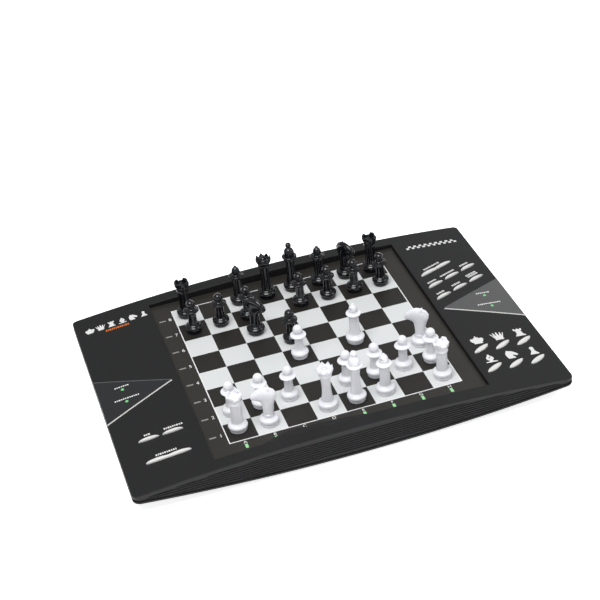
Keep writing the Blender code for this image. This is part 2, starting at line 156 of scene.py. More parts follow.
def rounded_box(x0, x1, y0, y1, radius, back_radius=None):
    bulge = math.tan(math.pi / 8)        # a quarter circle
    back = radius if back_radius is None else back_radius
    return drawn([(x1, y0 + radius), (x1, y1 - back), (x1 - back, y1, bulge), (x0 + back, y1),
                  (x0, y1 - back, bulge), (x0, y0 + radius), (x0 + radius, y0, bulge),
                  (x1 - radius, y0), (x1, y0 + radius, bulge)])[:-1]


def rectangle(x0, x1, y0, y1):
    return [(x1, y0), (x1, y1), (x0, y1), (x0, y0)]


def mirrored(half):
    """A closed outline from its right half, drawn from the middle of its foot to its top."""
    points = drawn(half)
    return points + [(-u, v) for u, v in reversed(points) if u > 1e-6]


def placed(outline, x, y, turn=0.0, size=1.0):
    c = math.cos(math.radians(turn)) * size
    s = math.sin(math.radians(turn)) * size
    return [(x + c * u - s * v, y + s * u + c * v) for u, v in outline]


def ring_points(x, y, radius, steps=24):
    return [(x + radius * math.cos(a), y + radius * math.sin(a))
            for a in (2 * math.pi * k / steps for k in range(steps))]


def box_outline(inset):
    """The console's plan, drawn in by inset."""
    return rounded_box(inset - HALF_X, HALF_X - inset, inset - HALF_Y, HALF_Y - inset, CORNER_R - inset,
                       BACK_CORNER_R - inset)


def round_edge(radius):
    """(outwards, drop) steps of a quarter round that begins flat and ends upright."""
    return [(radius * math.sin(a), radius * (1 - math.cos(a)))
            for a in (step * math.pi / 2 / EDGE_STEPS for step in range(1, EDGE_STEPS + 1))]


# ---- meshes ----
def finish_piece(name, shape, materials, body, nodes=(), angle=35, weigh=False, matrix=None):
    """Link a bmesh given in millimetres as a piece that rides on a body and may stand for CAD nodes."""
    if matrix:
        shape.transform(matrix)
    shape.transform(Matrix.Scale(MM, 4))
    bmesh.ops.recalc_face_normals(shape, faces=shape.faces)
    mesh = bpy.data.meshes.new(name)
    shape.to_mesh(mesh)
    shape.free()
    for mat in materials if isinstance(materials, (list, tuple)) else [materials]:
        mesh.materials.append(mat)
    mesh.shade_smooth()
    mesh.set_sharp_from_angle(angle=math.radians(angle))
    return place_piece(name, mesh, body, nodes, weigh=weigh)


def place_piece(name, mesh, body, nodes=(), matrix=None, weigh=False):
    obj = bpy.data.objects.new(name, mesh)
    bpy.context.scene.collection.objects.link(obj)
    if matrix:
        obj.matrix_world = matrix
    if weigh:
        obj.modifiers.new("even_shading", "WEIGHTED_NORMAL").keep_sharp = True
    bpy.context.view_layer.update()
    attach(obj, body)
    if nodes:
        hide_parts(*nodes)
    return obj


def flat_fill(shape, outlines):
    """Fill outlines, the first one outside and the others holes, in the plane z = 0."""
    edges = []
    for outline in outlines:
        verts = [shape.verts.new((x, y, 0)) for x, y in outline]
        edges += [shape.edges.new((verts[i - 1], verts[i])) for i in range(len(verts))]
    bmesh.ops.triangle_fill(shape, use_beauty=True, edges=edges, normal=(0, 0, 1))


def slice_along_x(shape):
    """Cut a flat shape into strips, so that it can bend along X."""
    xs = [vert.co.x for vert in shape.verts]
    low = math.ceil(min(xs) / SLICE + 0.01)
    high = math.floor(max(xs) / SLICE - 0.01)
    for step in range(low, high + 1):
        everything = shape.verts[:] + shape.edges[:] + shape.faces[:]
        bmesh.ops.bisect_plane(shape, geom=everything, dist=1e-5, plane_co=(step * SLICE, 0, 0),
                               plane_no=(1, 0, 0))


def boundary_loops(shape):
    """The open edges as ordered loops of vertices, the face always on the left."""
    following = {}
    for edge in shape.edges:
        if len(edge.link_faces) == 1:
            loop = edge.link_faces[0].loops[0]
            while loop.edge is not edge:
                loop = loop.link_loop_next
            following[loop.vert] = loop.link_loop_next.vert
    loops = []
    while following:
        vert, after = following.popitem()
        loop = [vert]
        while after is not loop[0]:
            loop.append(after)
            after = following.pop(after)
        loops.append(loop)
    return loops


def outward(loop):
    """For each vertex of a loop, the step in x and y that moves both its edges out by 1."""
    steps = []
    for place, vert in enumerate(loop):
        before = (vert.co - loop[place - 1].co).xy.normalized()
        after = (loop[(place + 1) % len(loop)].co - vert.co).xy.normalized()
        normal_before = Vector((before.y, -before.x))
        normal_after = Vector((after.y, -after.x))
        middle = (normal_before + normal_after).normalized()
        steps.append(middle / max(middle.dot(normal_before), 0.35))
    return steps


def arched_skin(outlines, surface, side, rim_of, depth=SKIN):
    """A closed plate that follows surface(x) in x. side is 1 for a top and -1 for an underside.

    rim_of(loop) gives the (outwards, drop) steps of one edge; a drop may be a function of (x, y).
    depth is the plate's thickness away from its edges.
    """
    shape = bmesh.new()
    flat_fill(shape, outlines)
    slice_along_x(shape)
    bmesh.ops.recalc_face_normals(shape, faces=shape.faces)
    if sum(face.normal.z for face in shape.faces) < 0:
        bmesh.ops.reverse_faces(shape, faces=shape.faces)
    faces = shape.faces[:]
    last = {}
    for loop in boundary_loops(shape):
        steps = outward(loop)
        base = [vert.co.copy() for vert in loop]
        ring = loop
        for out, drop in rim_of(base):
            made = []
            for co, step in zip(base, steps):
                x = co.x + step.x * out
                fall = drop(x, co.y) if callable(drop) else drop
                made.append(shape.verts.new((x, co.y + step.y * out, surface(x) - side * fall)))
            for place in range(len(ring)):
                shape.faces.new((ring[place - 1], made[place - 1], made[place], ring[place]))
            ring = made
        last.update(zip(loop, ring))
    inner = {}
    for face in faces:
        for vert in face.verts:
            if vert not in inner:
                x = vert.co.x
                inner[vert] = last.get(vert) or shape.verts.new((x, vert.co.y, surface(x) - side * depth))
        shape.faces.new([inner[vert] for vert in reversed(face.verts)])
    for vert in inner:
        vert.co.z = surface(vert.co.x)
    return shape


def flat_slab(outlines, low, high, edge=0.0):
    """A flat plate with a rounded upper edge."""
    rim = round_edge(edge) if edge else []
    return arched_skin(outlines, lambda x: high, 1, lambda loop: rim + [(edge, high - low)], high - low)


def swept(sections):
    """A closed skin through rings of equally many points, with flat ends."""
    shape = bmesh.new()
    rings = [[shape.verts.new(point) for point in section] for section in sections]
    for ring, after in zip(rings, rings[1:]):
        for place in range(len(ring)):
            shape.faces.new((ring[place - 1], ring[place], after[place], after[place - 1]))
    shape.faces.new(list(reversed(rings[0])))
    shape.faces.new(rings[-1])
    return shape


def bar(x0, x1, y, z, wide, high, steps=8):
    """A level bar along X with rounded section and ends."""
    half = (x1 - x0) / 2
    sections = []
    for along, size in ((-1, 0.3), (-0.998, 0.8), (-0.995, 1), (0.995, 1), (0.998, 0.8), (1, 0.3)):
        ring = [(x0 + half + half * along, y + wide * size * math.cos(a), z + high * size * math.sin(a))
                for a in (2 * math.pi * step / steps for step in range(steps))]
        sections.append(ring)
    return swept(sections)


def join_shapes(shapes):
    whole = shapes[0]
    for other in shapes[1:]:
        mesh = bpy.data.meshes.new("part")
        other.to_mesh(mesh)
        other.free()
        whole.from_mesh(mesh)
        bpy.data.meshes.remove(mesh)
    return whole


# ---- materials ----
def material(name, colour, roughness, spread=0.0, grain=0.0, bump=0.0, metallic=0.0, coat=0.0, patch=18.0,
             mirror=0.5):
    """Moulded plastic: a slow change of colour, a spark-eroded grain and uneven gloss."""
    mat = bpy.data.materials.new(name)
    mat.use_nodes = True
    nodes = mat.node_tree.nodes
    link = mat.node_tree.links.new
    shader = nodes["Principled BSDF"]
    shader.inputs["Metallic"].default_value = metallic
    shader.inputs["Coat Weight"].default_value = coat
    shader.inputs["Specular IOR Level"].default_value = mirror
    shader.inputs["Coat Roughness"].default_value = 0.08
    where = nodes.new("ShaderNodeTexCoord")
    slow = nodes.new("ShaderNodeTexNoise")
    slow.inputs["Scale"].default_value = patch
    slow.inputs["Detail"].default_value = 3
    link(where.outputs["Object"], slow.inputs["Vector"])
    fine = nodes.new("ShaderNodeTexNoise")
    fine.inputs["Scale"].default_value = 1600
    fine.inputs["Detail"].default_value = 2
    link(where.outputs["Object"], fine.inputs["Vector"])
    mix = nodes.new("ShaderNodeMix")
    mix.data_type = "RGBA"
    mix.inputs["A"].default_value = (*[c * (1 - spread) for c in colour], 1)
    mix.inputs["B"].default_value = (*[min(c * (1 + spread), 1) for c in colour], 1)
    link(slow.outputs["Fac"], mix.inputs["Factor"])
    link(mix.outputs["Result"], shader.inputs["Base Color"])
    gloss = nodes.new("ShaderNodeMapRange")
    gloss.inputs["From Min"].default_value = 0.3
    gloss.inputs["From Max"].default_value = 0.7
    gloss.inputs["To Min"].default_value = max(roughness - grain, 0.02)
    gloss.inputs["To Max"].default_value = roughness + grain
    link(fine.outputs["Fac"], gloss.inputs["Value"])
    link(gloss.outputs["Result"], shader.inputs["Roughness"])
    if bump:
        rough = nodes.new("ShaderNodeBump")
        rough.inputs["Strength"].default_value = bump
        rough.inputs["Distance"].default_value = 0.00008
        link(fine.outputs["Fac"], rough.inputs["Height"])
        link(rough.outputs["Normal"], shader.inputs["Normal"])
    return mat


def glow(name, colour, strength):
    """A lit window: its own light as well as its colour."""
    mat = material(name, colour, 0.3, 0.1, 0.05, patch=900)
    shader = mat.node_tree.nodes["Principled BSDF"]
    shader.inputs["Emission Color"].default_value = (*colour, 1)
    shader.inputs["Emission Strength"].default_value = strength
    return mat


CASING = material("casing", (0.0100, 0.0100, 0.0105), 0.50, 0.12, 0.06, 0.25, mirror=0.33)
RIB_BLACK = material("ribbed_casing", (0.0115, 0.0115, 0.012), 0.44, 0.12, 0.05, 0.2, mirror=0.33)
FILM_DARK = material("film_dark", (0.0185, 0.0168, 0.0145), 0.46, 0.08, 0.05, 0.1, mirror=0.35)
FILM_MARGIN = material("film_margin", (0.026, 0.0235, 0.0195), 0.42, 0.08, 0.05, 0.1, mirror=0.4)
FILM_LIGHT = material("film_light", (0.72, 0.735, 0.73), 0.38, 0.02, 0.04, 0.05)
FILM_WHITE = material("film_white", (0.86, 0.86, 0.86), 0.4, 0.03, 0.04)
WINDOW_OFF = material("window_off", (0.30, 0.29, 0.27), 0.25, 0.1, 0.05)
WINDOW_ON = glow("window_on", (0.30, 0.62, 0.30), 0.12)
LED_GREEN = glow("led_green", (0.16, 0.55, 0.20), 0.25)
LENS_SMOKE = material("lens_smoke", (0.010, 0.010, 0.0115), 0.16, 0.1, 0.03, coat=0.3)
# Painted highlight: a pale colour for the light caught on the lens's bevelled front edge.
LENS_PAINTED_HIGHLIGHT = material("lens_edge_painted_highlight", (0.66, 0.65, 0.62), 0.25, 0.05, 0.04)
# Painted dim highlight: a grey, lighter than the smoked lens, for the faint light along the lens's back edge.
LENS_PAINTED_DIM_HIGHLIGHT = material("lens_edge_painted_dim_highlight", (0.10, 0.10, 0.105), 0.25, 0.1, 0.04)
KEY_SILVER = material("key_silver", (0.78, 0.775, 0.76), 0.32, 0.04, 0.04, 0.1, patch=120)
PRINT_WHITE = material("print_white", (0.78, 0.78, 0.77), 0.45, 0.04, 0.05, patch=300)
PRINT_ORANGE = material("print_orange", (0.72, 0.16, 0.02), 0.45, 0.08, 0.05, patch=300)
MAN_WHITE = material("man_white", (0.89, 0.89, 0.93), 0.28, 0.03, 0.03, 0.05, coat=0.2, patch=60)
MAN_BLACK = material("man_black", (0.005, 0.005, 0.007), 0.14, 0.15, 0.03, 0.08, coat=0.2, patch=60)
RUBBER = material("rubber", (0.035, 0.035, 0.035), 0.85, 0.1, 0.05, 0.6)
STEEL = material("steel", (0.42, 0.42, 0.43), 0.34, 0.06, 0.08, 0.2, metallic=1.0)
CIRCUIT = material("circuit", (0.02, 0.13, 0.055), 0.4, 0.25, 0.1, 0.3, patch=240)
KEY_MAT = material("key_mat", (0.24, 0.24, 0.25), 0.75, 0.08, 0.05, 0.3)
LABEL = material("blank_label", (0.42, 0.42, 0.43), 0.55, 0.03, 0.04)


# ---- top housing ----
KEY_NODES = [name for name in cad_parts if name.endswith("_key")]
WAVE_KEYS = ("training_key", "new_game_key")


def lens_reach(x):
    """Half the lens's length along Y at x."""
    return LENS_HALF * (x - LENS_APEX_X) / (HALF_X - LENS_APEX_X)


def key_axes(node):
    """Where a key's top is on its wing: its centre, direction, half length, and bulges up and down."""
    side = 1 if sum(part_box(node)[i][0] for i in (0, 1)) > 0 else -1
    to_wing = wing_matrix(side).inverted()
    points = [to_wing @ (vert.co / MM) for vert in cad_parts[node].data.vertices]
    top = [p.xy for p in points if p.z > KEY_RISE - 0.1]
    left, right = max(((p, q) for p in top for q in top), key=lambda pair: (pair[0] - pair[1]).length)
    if left.x > right.x:
        left, right = right, left
    along = (right - left).normalized()
    across = Vector((-along.y, along.x))
    centre = (left + right) / 2
    offsets = [(p - centre).dot(across) for p in top]
    return side, centre, along, (right - left).length / 2, max(offsets), -min(offsets)


def key_width(wave, t, up, down):
    """How far a key reaches to either side at t, from -1 at one tip to 1 at the other."""
    if wave:
        across = max(1 - t ** 6, 0) ** 0.5
        return (2.0 + 1.3 * math.sin(math.pi * abs(t))) * across, 1.1 * across
    across = max(1 - t * t, 0) ** 0.6
    return up * across, down * across


def key_hole(node, grow=0.35, steps=14):
    side, centre, along, half, up, down = key_axes(node)
    across = Vector((-along.y, along.x))
    wave = node in WAVE_KEYS
    upper = []
    lower = []
    for step in range(steps + 1):
        t = -math.cos(math.pi * step / steps)
        high, low = key_width(wave, t, up, down)
        for reach, line in ((high + grow, upper), (-low - grow, lower)):
            point = centre + along * t * (half + grow) + across * reach
            line.append(on_console(side, point))
    return lower + upper[::-1]


def housing_outline(inset):
    """The housing from above, with a notch on each side for its lens."""
    points = []
    edge = HALF_X - inset
    reach = lens_reach(HALF_X) + GAP
    for x, y in box_outline(inset):
        points.append((x, y))
        if x > edge - 1e-6 and y < 0:
            points += [(edge, LENS_Y - reach), (LENS_APEX_X - GAP, LENS_Y), (edge, LENS_Y + reach)]
        if x < 1e-6 - edge and y > 0:
            points += [(-edge, LENS_Y + reach), (GAP - LENS_APEX_X, LENS_Y), (-edge, LENS_Y - reach)]
    return points


def only_once(points):
    """Drop the lens notch that a rounded corner's last point would add a second time."""
    seen = []
    for point in points:
        if point not in seen:
            seen.append(point)
    return seen


def make_top():
    edge = 0.55
    bed_edge = 0.8
    bed = rectangle(-BED_X - bed_edge, BED_X + bed_edge, BED_FRONT - bed_edge, BED_BACK + bed_edge)
    holes = [key_hole(node) for node in KEY_NODES]

    def rim_of(loop):
        xs = [co.x for co in loop]
        wide = max(xs) - min(xs)
        if wide > 2 * HALF_X - 10:
            return round_edge(edge) + [(edge, LIP), (edge - SKIN, LIP)]
        if wide > 200:
            floor = (bed_edge, lambda x, y: top_z(x) - BED_FLOOR)
            return round_edge(bed_edge) + [floor]
        return [(0.12, 0.05), (0.2, 0.25), (0.2, SKIN)]

    shape = arched_skin([only_once(housing_outline(edge)), bed] + holes, top_z, 1, rim_of)
    finish_piece("top_shell", shape, CASING, "console", ["top_housing"], weigh=True)
    under_bed = [rectangle(-BED_X - 1, BED_X + 1, BED_FRONT - 1, BED_BACK + 1)]
    finish_piece("bed_floor", flat_slab(under_bed, BED_FLOOR - SKIN, BED_FLOOR), CASING, "console", ())
    for side, name in ((-1, "left"), (1, "right")):
        tip = LENS_APEX_X - 2
        out = HALF_X - 0.4
        reach = lens_reach(HALF_X) + 1
        wedge = [(side * tip, LENS_Y), (side * out, LENS_Y - reach), (side * out, LENS_Y + reach)]
        seat = arched_skin([wedge], lambda x: top_z(x) - 1.3, 1, lambda loop: [(0, LIP - 1.3)])
        finish_piece(f"{name}_lens_seat", seat, CASING, "console", ())


# ---- lenses ----
def make_lenses():
    for side, name in ((-1, "left"), (1, "right")):
        apex = (side * LENS_APEX_X, LENS_Y)
        front = (side * HALF_X, LENS_Y - LENS_HALF)
        back = (side * HALF_X, LENS_Y + LENS_HALF)
        edge = 0.35
        inset = [(apex[0] + side * edge * 2.2, LENS_Y), (front[0] - side * edge, front[1] + 1.45 * edge),
                 (back[0] - side * edge, back[1] - 1.45 * edge)]
        shape = arched_skin([inset], lambda x: top_z(x) + 0.12, 1,
                            lambda loop: round_edge(edge) + [(edge, 1.2)])
        finish_piece(f"{name}_window", shape, LENS_SMOKE, "console", [f"{name}_lens"],
                     weigh=True)
        # The front strip is a painted highlight on the lens's bevelled front edge. The back strip is a
        # painted dim highlight along its back edge.
        strip(f"{name}_window_front_painted_highlight", apex, front, 0.5, LENS_PAINTED_HIGHLIGHT)
        strip(f"{name}_window_back_painted_dim_highlight", apex, back, 0.3, LENS_PAINTED_DIM_HIGHLIGHT)
        beads = []
        for y in LENS_LIGHTS:
            bead = turned(drawn([(0, -0.3), (1.5, -0.3), (1.35, 0.25, 0.2), (0, 0.55, 0.2)]), 24)
            x = side * LENS_LIGHT_X
            bead.transform(Matrix.Translation((x, y, top_z(x))) @ wing_matrix(side).to_3x3().to_4x4())
            beads.append(bead)
        finish_piece(f"{name}_window_lights", join_shapes(beads), LED_GREEN, "console", ())


def strip(name, start, end, half, mat):
    """A thin strip along a lens's edge, from its apex outwards, whose colour is painted light caught on that
    edge.
    """
    a = Vector(start)
    b = Vector(end)
    along = (b - a).normalized()
    across = Vector((-along.y, along.x)) * half
    inward = (b - a) * 0.012
    near = a + inward
    far = b - inward * 0.3
    outline = [tuple(near - across), tuple(far - across), tuple(far + across), tuple(near + across)]
    shape = arched_skin([outline], lambda x: top_z(x) + 0.3, 1,
                        lambda loop: [(0.08, 0.03), (0.14, 0.12), (0.14, 0.6)])
    finish_piece(name, shape, mat, "console", ())


# ---- keys ----
def make_keys():
    for node in KEY_NODES:
        side, centre, along, half, up, down = key_axes(node)
        across = Vector((-along.y, along.x))
        wave = node in WAVE_KEYS
        steps = 40 if wave else 26
        ring_steps = 12
        shape = bmesh.new()
        rows = []
        for step in range(steps + 1):
            t = -math.cos(math.pi * step / steps)
            high, low = key_width(wave, t, up, down)
            swell = (1 - t ** (10 if wave else 4)) ** 0.5
            row = []
            profile = [(-1.0, -KEY_SKIRT)]
            profile += [(-math.cos(a), math.sin(a)) for a in
                        (math.pi * k / ring_steps for k in range(ring_steps + 1))]
            profile += [(1.0, -KEY_SKIRT)]
            for place, (wide, lift) in enumerate(profile):
                reach = (high if wide > 0 else low) * wide
                point = centre + along * half * t + across * reach
                z = lift
                if place not in (0, len(profile) - 1):
                    z = -KEY_SHOULDER + lift * (KEY_RISE + KEY_SHOULDER) * (0.25 + 0.75 * swell)
                row.append(shape.verts.new((point.x, point.y, z)))
            rows.append(row)
        for row, after in zip(rows, rows[1:]):
            for place in range(len(row)):
                shape.faces.new((row[place - 1], after[place - 1], after[place], row[place]))
        bmesh.ops.remove_doubles(shape, verts=shape.verts, dist=0.0005)
        bmesh.ops.holes_fill(shape, edges=shape.edges)
        finish_piece(f"{node}_cap", shape, KEY_SILVER, node, [node], angle=50,
                     matrix=wing_matrix(side))


# ---- prints on the wings ----
PICTOGRAMS = {
    "king": [mirrored([(0, -5.5), (3.9, -5.5), (3.9, -4.3), (3.3, -3.8), (5.6, -0.4, 0.3), (3.6, 2.2, 0.7),
                       (2.0, 1.6, 0.2), (1.9, 3.4, 0.5), (0.6, 3.7), (0.6, 5.2), (0, 5.6)])],
    "queen": [mirrored([(0, -5.5), (3.8, -5.5), (3.8, -4.3), (3.4, -3.8), (6.0, 3.4), (5.4, 3.9, 0.6),
                        (3.6, -0.4), (3.5, 4.6), (2.8, 4.9, 0.6), (1.3, -0.2), (0.5, 5.3), (0, 5.6, 0.3)])],
    "rook": [mirrored([(0, -5.5), (4.6, -5.5), (4.4, -4.2), (3.0, -3.2), (2.3, 1.8), (3.8, 2.8), (3.8, 5.3),
                       (2.4, 5.3), (2.4, 4.2), (0.8, 4.2), (0.8, 5.3), (0, 5.3)])],
    "bishop": [mirrored([(0, -5.5), (5.2, -5.3), (5.0, -4.3), (1.6, -3.7), (1.5, -2.9), (3.1, -0.8),
                         (2.9, 1.6, 0.2), (0.8, 4.2, 0.1), (0.9, 5.0, 0.4), (0, 5.6, 0.4)]),
               [(-0.6, 0.4), (1.6, 2.3), (1.1, 2.8), (-1.1, 0.9)]],
    "knight": [drawn([(-4.0, -5.5), (2.2, -5.5), (2.0, -4.2), (0.6, -2.0), (0.9, -0.9), (4.2, -2.4),
                      (5.6, -1.6), (5.2, 0.2), (2.2, 3.6), (-1.2, 5.0, 0.12), (-2.6, 6.0), (-3.2, 4.4),
                      (-5.0, 0.4, 0.2), (-4.6, -3.6, 0.1)])],
    "pawn": [mirrored([(0, -5.5), (4.0, -5.5), (3.8, -4.3), (1.2, 0.6, -0.1), (2.0, 1.2), (1.2, 1.8),
                       (1.9, 3.4, 0.3), (0, 5.2, 0.41)])],
}
PICTOGRAM_RISE = 13.0         # how far behind a man's key its pictogram stands
# A key's caption: how long it is, how far it stands to the right, how many lines.
CAPTIONS = {
    "on_key": (5.6, 0.1, 1), "save_key": (17.4, 2.4, 1), "training_key": (18.5, -0.3, 1),
    "new_game_key": (19.8, 0.3, 1), "move_key": (11.1, 1.5, 1), "level_key": (11.6, 1.9, 1),
    "take_back_key": (19.0, 0.9, 1), "sound_key": (13.5, 2.6, 2), "hint_key": (9.1, 2.1, 1),
    "set_up_key": (11.7, 1.7, 1),
}
CAPTION_HIGH = 2.0
CAPTION_RISE = 3.0            # how far behind a key its caption stands
LINE_SPACING = 2.6
BLOCKS = (1.3, 0.9, 1.6, 1.1)
BLOCK_GAP = 0.6
CHEQUER_CELL = 2.6
CHEQUER_COLUMNS = 19


def caption(x, y, turn, length, high=CAPTION_HIGH):
    """Small blocks in a line, where the real console has a word."""
    groups = []
    start = -length / 2
    while start + 1 < length / 2:
        wide = min(BLOCKS[len(groups) % len(BLOCKS)], length / 2 - start)
        groups.append([placed(rectangle(start, start + wide, -high / 2, high / 2), x, y, turn)])
        start += wide + BLOCK_GAP
    return groups


def ink(name, groups, mat, lift=0.05):
    """A print that lies on the arch. Each group is an outline and its holes."""
    shapes = [arched_skin(group, lambda x: top_z(x) + lift, 1, lambda loop: [(0, 0.05)], 0.05)
              for group in groups]
    finish_piece(name, join_shapes(shapes), mat, "console", ())


def make_prints():
    for node, (length, right, lines) in CAPTIONS.items():
        side, centre, along, _, up, _ = key_axes(node)
        across = Vector((-along.y, along.x))
        turn = math.degrees(math.atan2(along.y, along.x))
        groups = []
        for line in range(lines):
            rise = up + CAPTION_RISE + line * LINE_SPACING
            x, y = on_console(side, centre + along * right + across * rise)
            groups += caption(x, y, turn, length)
        ink(f"{node}_caption", groups, PRINT_WHITE)
    for kind, outlines in PICTOGRAMS.items():
        side, centre, *_ = key_axes(f"{kind}_key")
        x, y = on_console(side, centre)
        ink(f"{kind}_pictogram", [[placed(line, x + 1.2, y + PICTOGRAM_RISE) for line in outlines]],
            PRINT_WHITE)
    for side, name in ((-1, "left"), (1, "right")):
        groups = []
        for y, inner, outer in ((LENS_LIGHTS[0], 158.5, 171.0), (LENS_LIGHTS[1], 153.0, 174.5)):
            groups += caption(side * (inner + outer) / 2, y + 4.2, 0, outer - inner, 1.6)
        ink(f"{name}_window_captions", groups, PRINT_WHITE, 0.17)
    row = []
    for place, outlines in enumerate(PICTOGRAMS.values()):
        row.append([placed(line, -174.0 + place * 10.0, 105.5, 0, 0.72) for line in outlines])
    ink("left_wing_emblem", row, PRINT_WHITE)
    ink("left_wing_dashes", caption(-149.6, 97.6, 0, 22.4, 2.6), PRINT_ORANGE)
    cell = CHEQUER_CELL
    chequer = [[placed(rectangle(0, cell, 0, cell), 127.0 + column * cell, 101.4 + (column % 2) * cell)]
               for column in range(CHEQUER_COLUMNS)]
    ink("right_wing_emblem", chequer, PRINT_WHITE)


# ---- playing sheet ----
def make_sheet():
    """The printed film: one grid whose cells take the print's colours."""
    prints = [FILM_DARK, FILM_MARGIN, FILM_LIGHT, FILM_WHITE, WINDOW_OFF, WINDOW_ON]
    half = 4 * SQUARE
    line = 0.9
    window = (5.8, 1.6)
    file_window = (2.4, 5.2)
    rank_x = -110.5
    file_y = BOARD_Y - 107.6
    x0, y0 = -BED_X + GAP, BED_FRONT + GAP
    x1, y1 = BED_X - GAP, BED_BACK - GAP
    squares = [SQUARE * k - half for k in range(9)]
    ranks = [SQUARE * (k + 0.5) - half + BOARD_Y for k in range(8)]
    files = [SQUARE * (k + 0.5) - half for k in range(8)]
    xs = {x0, x1, line - half, half - line, rank_x - window[0] / 2, rank_x + window[0] / 2}
    xs |= set(squares)
    xs |= {x + s * file_window[0] / 2 for x in files for s in (-1, 1)}
    ys = {y0, y1, BOARD_Y + line - half, BOARD_Y + half - line}
    ys |= {y + BOARD_Y for y in squares}
    ys |= {y + s * window[1] / 2 for y in ranks for s in (-1, 1)}
    ys |= {file_y + s * file_window[1] / 2 for s in (-1, 1)}
    xs = sorted(xs)
    ys = sorted(ys)

    def colour(x, y):
        v = y - BOARD_Y
        if abs(x) < half and abs(v) < half:
            if max(abs(x), abs(v)) > half - line:
                return prints.index(FILM_WHITE)
            light = (math.floor(x / SQUARE) + math.floor(v / SQUARE)) % 2
            return prints.index(FILM_LIGHT if light else FILM_DARK)
        if abs(x - rank_x) < window[0] / 2 and any(abs(y - r) < window[1] / 2 for r in ranks):
            return prints.index(WINDOW_OFF)
        if abs(y - file_y) < file_window[1] / 2 and any(abs(x - f) < file_window[0] / 2 for f in files):
            return prints.index(WINDOW_ON)
        return prints.index(FILM_MARGIN)

    shape = bmesh.new()
    grid = [[shape.verts.new((x, y, SHEET_Z)) for y in ys] for x in xs]
    for i in range(len(xs) - 1):
        for j in range(len(ys) - 1):
            face = shape.faces.new((grid[i][j], grid[i + 1][j], grid[i + 1][j + 1], grid[i][j + 1]))
            face.material_index = colour((xs[i] + xs[i + 1]) / 2, (ys[j] + ys[j + 1]) / 2)
    made = bmesh.ops.extrude_face_region(shape, geom=shape.faces[:])
    for item in made["geom"]:
        if isinstance(item, bmesh.types.BMVert):
            item.co.z -= 0.6
    finish_piece("printed_board", shape, prints, "console", ["playing_sheet"])
    for place in range(8):
        letter("rank_" + str(place + 1), str(place + 1), -103.6, ranks[place], 5.6)
        letter("file_" + "abcdefgh"[place], "ABCDEFGH"[place], files[place], BOARD_Y - 102.7, 4.6)


def letter(name, text, x, y, size):
    """A square's number or letter, raised by the thickness of the ink."""
    data = bpy.data.curves.new(name, "FONT")
    data.body = text
    data.size = size * MM
    data.extrude = 0.04 * MM
    data.align_x = "CENTER"
    data.align_y = "CENTER"
    obj = bpy.data.objects.new(name + "_text", data)
    bpy.context.scene.collection.objects.link(obj)
    bpy.context.view_layer.update()
    mesh = bpy.data.meshes.new_from_object(obj.evaluated_get(bpy.context.evaluated_depsgraph_get()))
    bpy.data.objects.remove(obj, do_unlink=True)
    mesh.transform(Matrix.Translation(Vector((x, y, SHEET_Z + 0.05)) * MM))
    mesh.materials.clear()
    mesh.materials.append(FILM_WHITE)
    place_piece(name, mesh, "console", ())


# ---- bottom housing ----
def make_bottom():
    edge = 0.5
    width, front = DOOR
    notch = width + GAP
    back = HALF_Y - edge
    outline = []
    for x, y in box_outline(edge):
        outline.append((x, y))
        if y > back - 1e-6 and x > 0:
            outline += [(notch, back), (notch, front - GAP), (-notch, front - GAP), (-notch, back)]
    length, slot_width, spacing, count = SLOT
    slots = []
    for place in range(count):
        y = SPEAKER[1] + (place - (count - 1) / 2) * spacing
        slots.append(rounded_box(SPEAKER[0] - length / 2, SPEAKER[0] + length / 2, y - slot_width / 2,
                                 y + slot_width / 2, 0.75))

    def wall_height(x, y):
        """The walls reach the parting line, but beside the battery bay they stay under the board."""
        beside_bay = abs(x) < notch + 4 and y > front - 3
        return (BAY_WALL_Z if beside_bay else parting_z(x) - GAP) - underside_z(x)

    def rim_of(loop):
        if max(co.x for co in loop) - min(co.x for co in loop) > HALF_X:
            return round_edge(edge) + [(edge, FLANGE), (edge - INSET, FLANGE), (edge - INSET, wall_height),
                                       (edge - INSET - SKIN, wall_height)]
        return [(0.1, 0.1), (0.12, SKIN)]

    shape = arched_skin([only_once(outline)] + slots, underside_z, -1, rim_of)
    finish_piece("bottom_shell", shape, CASING, "console", ["bottom_housing"], weigh=True)
    ribs = []
    middle = (CROWN_Z - LIP + BELLY_Z + FLANGE) / 2
    for place in range(RIB_COUNT):
        z = middle + (place - (RIB_COUNT - 1) / 2) * RIB_PITCH
        room = min(CROWN_Z - LIP - GAP - (z + 0.8), z - 0.8 - (BELLY_Z + FLANGE))
        reach = min(math.sqrt(2 * ARCH_RADIUS * max(room, 0.1)), HALF_X - CORNER_R - 1)
        ribs.append(bar(-reach, reach, INSET - HALF_Y, z, 0.75, 0.68))
    finish_piece("front_ribs", join_shapes(ribs), RIB_BLACK, "console", ())
    make_battery_bay()
    make_fixings()
    frame_plate = flat_slab([rectangle(-width - 4, width + 4, front - 4, HALF_Y - 1.4),
                             rectangle(3 - width, width - 3, front + 4, HALF_Y - 10)],
                            BELLY_Z + 2.4, BELLY_Z + 4.4)
    finish_piece("battery_bay_frame", frame_plate, CASING, "console", ())
    make_feet()


def make_feet():
    radius, x, y = FOOT
    pads = []
    for sx in (-1, 1):
        for sy in (-1, 1):
            outline = drawn([(0, 0), (radius - 0.6, 0), (radius, 0.6, 0.4), (radius, 4.0)])
            pad = turned(outline, 40)
            pad.transform(Matrix.Translation((sx * x, sy * y, 0)))
            pads.append(pad)
    finish_piece("foot_pads", join_shapes(pads), RUBBER, "console", ())


